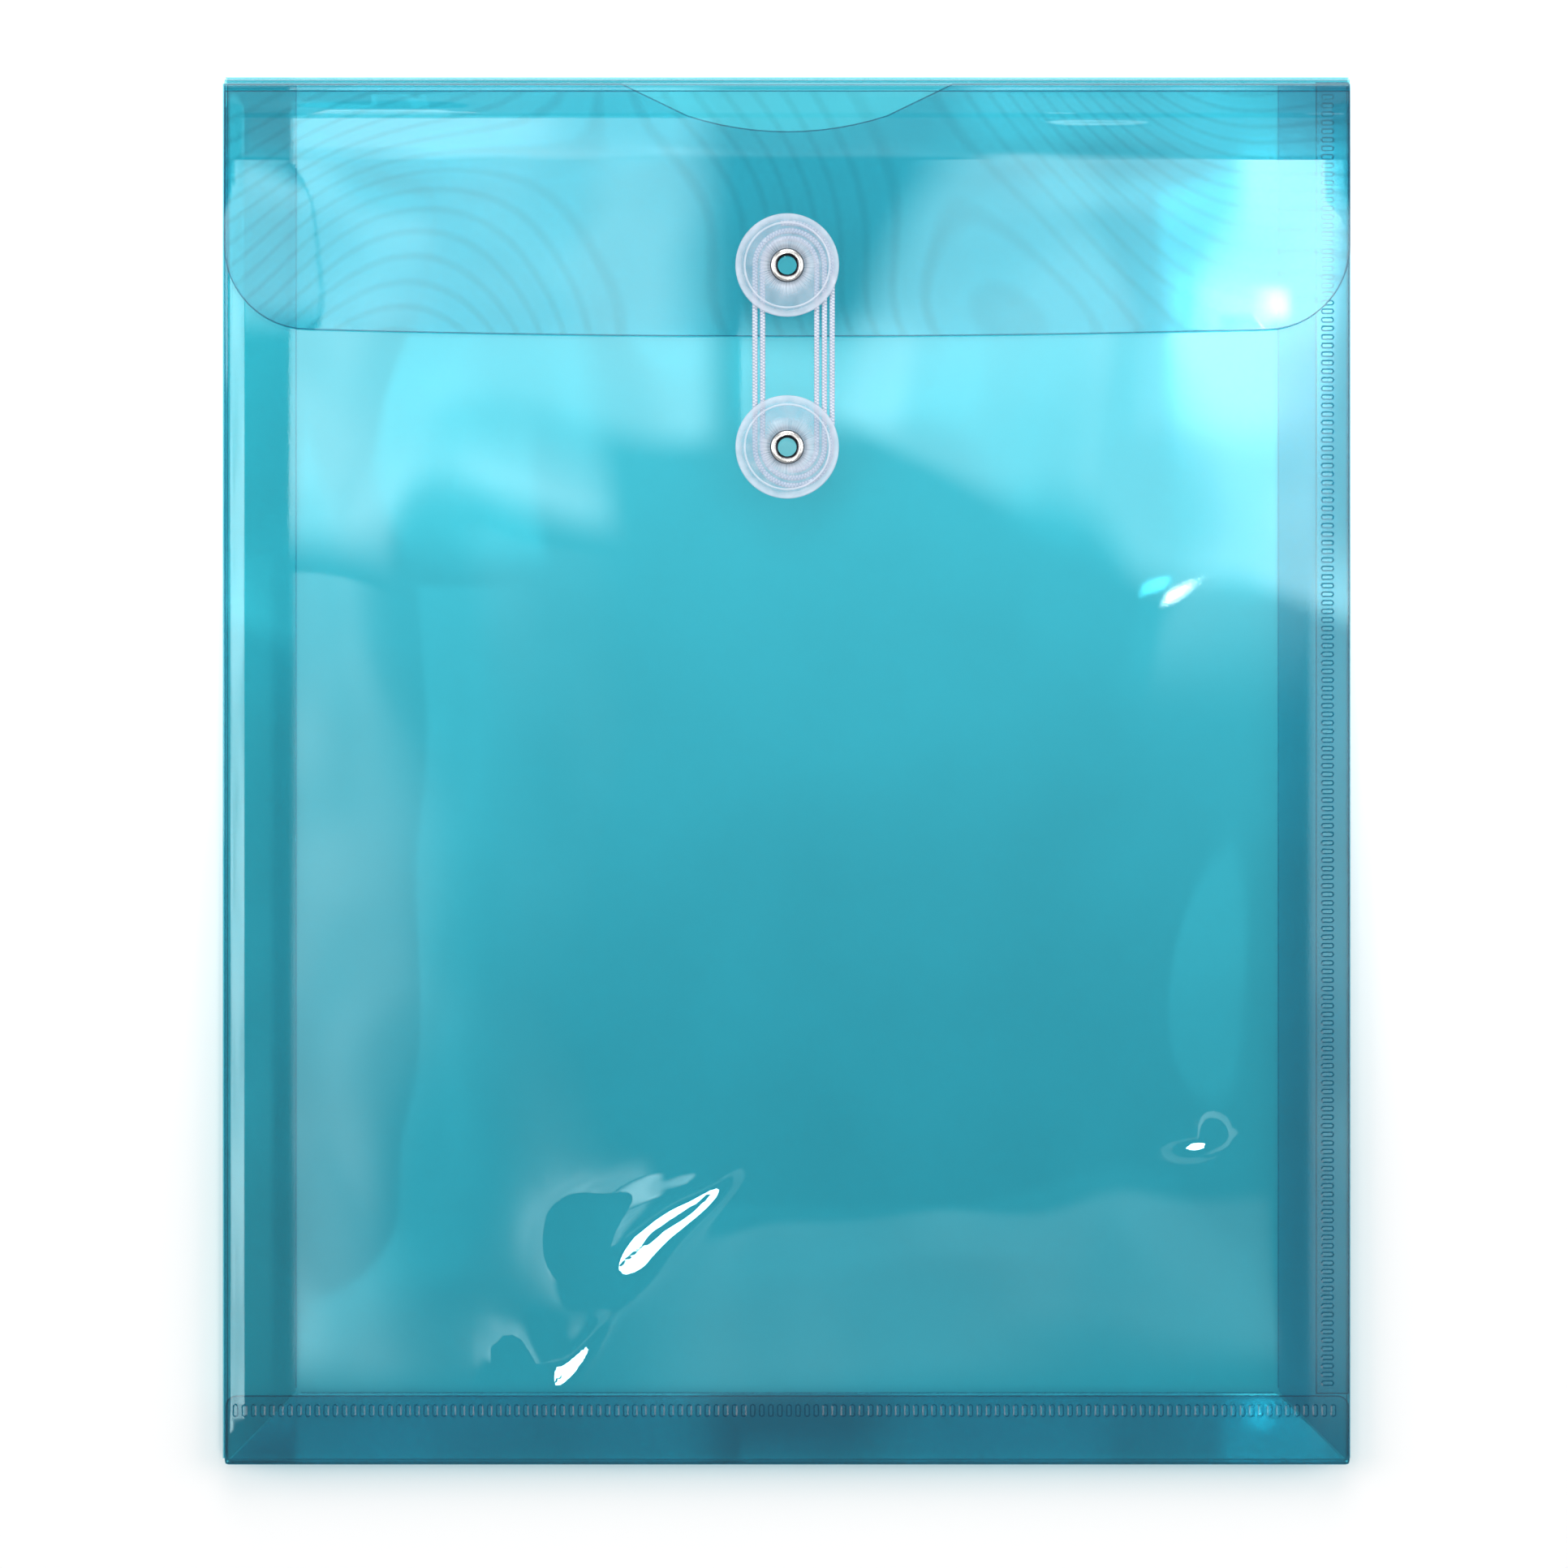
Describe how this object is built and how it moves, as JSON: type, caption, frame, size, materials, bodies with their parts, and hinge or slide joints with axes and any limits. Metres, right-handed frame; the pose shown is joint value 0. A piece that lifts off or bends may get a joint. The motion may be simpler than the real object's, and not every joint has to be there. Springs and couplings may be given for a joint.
{
  "type": "string-tie document envelope",
  "caption": "Clear tinted plastic document envelope with folded-in gussets, a thumb-notched front and a round-cornered flap, tied shut by a string wound between washer buttons.",
  "frame": {"origin": "centre of the outline, on the underside of the back panel that the envelope lies on", "axes": "+X to the right as seen from the front, +Y up the envelope towards the folded top, +Z out of the front"},
  "size_m": [0.248, 0.306, 0.0111],
  "materials": {
    "aqua_film": "glossy clear tinted polypropylene film",
    "frosted_plastic": "slightly frosted clear plastic",
    "nickel": "bright nickel plate",
    "white_cord": "braided polyester cord"
  },
  "bodies": {
    "back": {"back_panel": "aqua_film", "top_fold_lip": "aqua_film"},
    "left_rear_fold": {"left_gusset_rear": "aqua_film"},
    "left_front_fold": {"left_gusset_front": "aqua_film"},
    "front": {"front_panel": "aqua_film", "side_seam_tab": "aqua_film", "bottom_seam_tab": "aqua_film", "lower_eyelet": "nickel", "lower_backing_washer": "frosted_plastic", "string": "white_cord"},
    "right_rear_fold": {"right_gusset_rear": "aqua_film"},
    "right_front_fold": {"right_gusset_front": "aqua_film"},
    "bottom_rear_fold": {"bottom_gusset_rear": "aqua_film"},
    "bottom_front_fold": {"bottom_gusset_front": "aqua_film"},
    "top_fold": {"top_spine": "aqua_film"},
    "flap": {"flap_panel": "aqua_film", "upper_eyelet": "nickel", "upper_backing_washer": "frosted_plastic"},
    "upper_disc": {"upper_button_disc": "frosted_plastic"},
    "lower_disc": {"lower_button_disc": "frosted_plastic"}
  },
  "joints": [
    {"name": "left_rear_edge", "type": "hinge", "parent": "back", "child": "left_rear_fold", "pos_m": [-0.124, 0, 0.00062], "axis": [0, -1, 0], "range_deg": [-6, 43]},
    {"name": "pocket_expand", "type": "hinge", "parent": "left_rear_fold", "child": "left_front_fold", "pos_m": [-0.10859, 0, 0.00306], "axis": [0, 1, 0], "range_deg": [-12, 86]},
    {"name": "front_left_edge", "type": "hinge", "parent": "left_front_fold", "child": "front", "pos_m": [-0.124, 0, 0.0055], "axis": [0, -1, 0], "range_deg": [-6, 43]},
    {"name": "right_rear_edge", "type": "hinge", "parent": "back", "child": "right_rear_fold", "pos_m": [0.124, 0, 0.00062], "axis": [0, 1, 0], "range_deg": [-6, 43]},
    {"name": "right_crease", "type": "hinge", "parent": "right_rear_fold", "child": "right_front_fold", "pos_m": [0.10859, 0, 0.00306], "axis": [0, -1, 0], "range_deg": [-12, 86]},
    {"name": "bottom_rear_edge", "type": "hinge", "parent": "back", "child": "bottom_rear_fold", "pos_m": [0, -0.153, 0.00062], "axis": [1, 0, 0], "range_deg": [-6, 43]},
    {"name": "bottom_crease", "type": "hinge", "parent": "bottom_rear_fold", "child": "bottom_front_fold", "pos_m": [0, -0.13759, 0.00306], "axis": [-1, 0, 0], "range_deg": [-12, 86]},
    {"name": "flap_lift", "type": "slide", "parent": "back", "child": "top_fold", "axis": [0, 0, 1], "range_m": [-0.003, 0.0215]},
    {"name": "flap_open", "type": "hinge", "parent": "top_fold", "child": "flap", "pos_m": [0, 0.1499, 0.00754], "axis": [-1, 0, 0], "range_deg": [0, 180], "deforming": ["string"]},
    {"name": "upper_disc_spin", "type": "hinge", "parent": "flap", "child": "upper_disc", "pos_m": [0, 0.1111, 0.0095], "axis": [0, 0, 1], "continuous": true},
    {"name": "lower_disc_spin", "type": "hinge", "parent": "front", "child": "lower_disc", "pos_m": [0, 0.0712, 0.0076], "axis": [0, 0, 1], "continuous": true}
  ],
  "couplings": [
    {"joint": "left_rear_edge", "follows": "pocket_expand", "ratio": 0.5},
    {"joint": "front_left_edge", "follows": "pocket_expand", "ratio": 0.5},
    {"joint": "right_rear_edge", "follows": "pocket_expand", "ratio": 0.5},
    {"joint": "right_crease", "follows": "pocket_expand", "ratio": 1},
    {"joint": "bottom_rear_edge", "follows": "pocket_expand", "ratio": 0.5},
    {"joint": "bottom_crease", "follows": "pocket_expand", "ratio": 1},
    {"joint": "flap_lift", "follows": "pocket_expand", "m_per_rad": 0.01425}
  ]
}
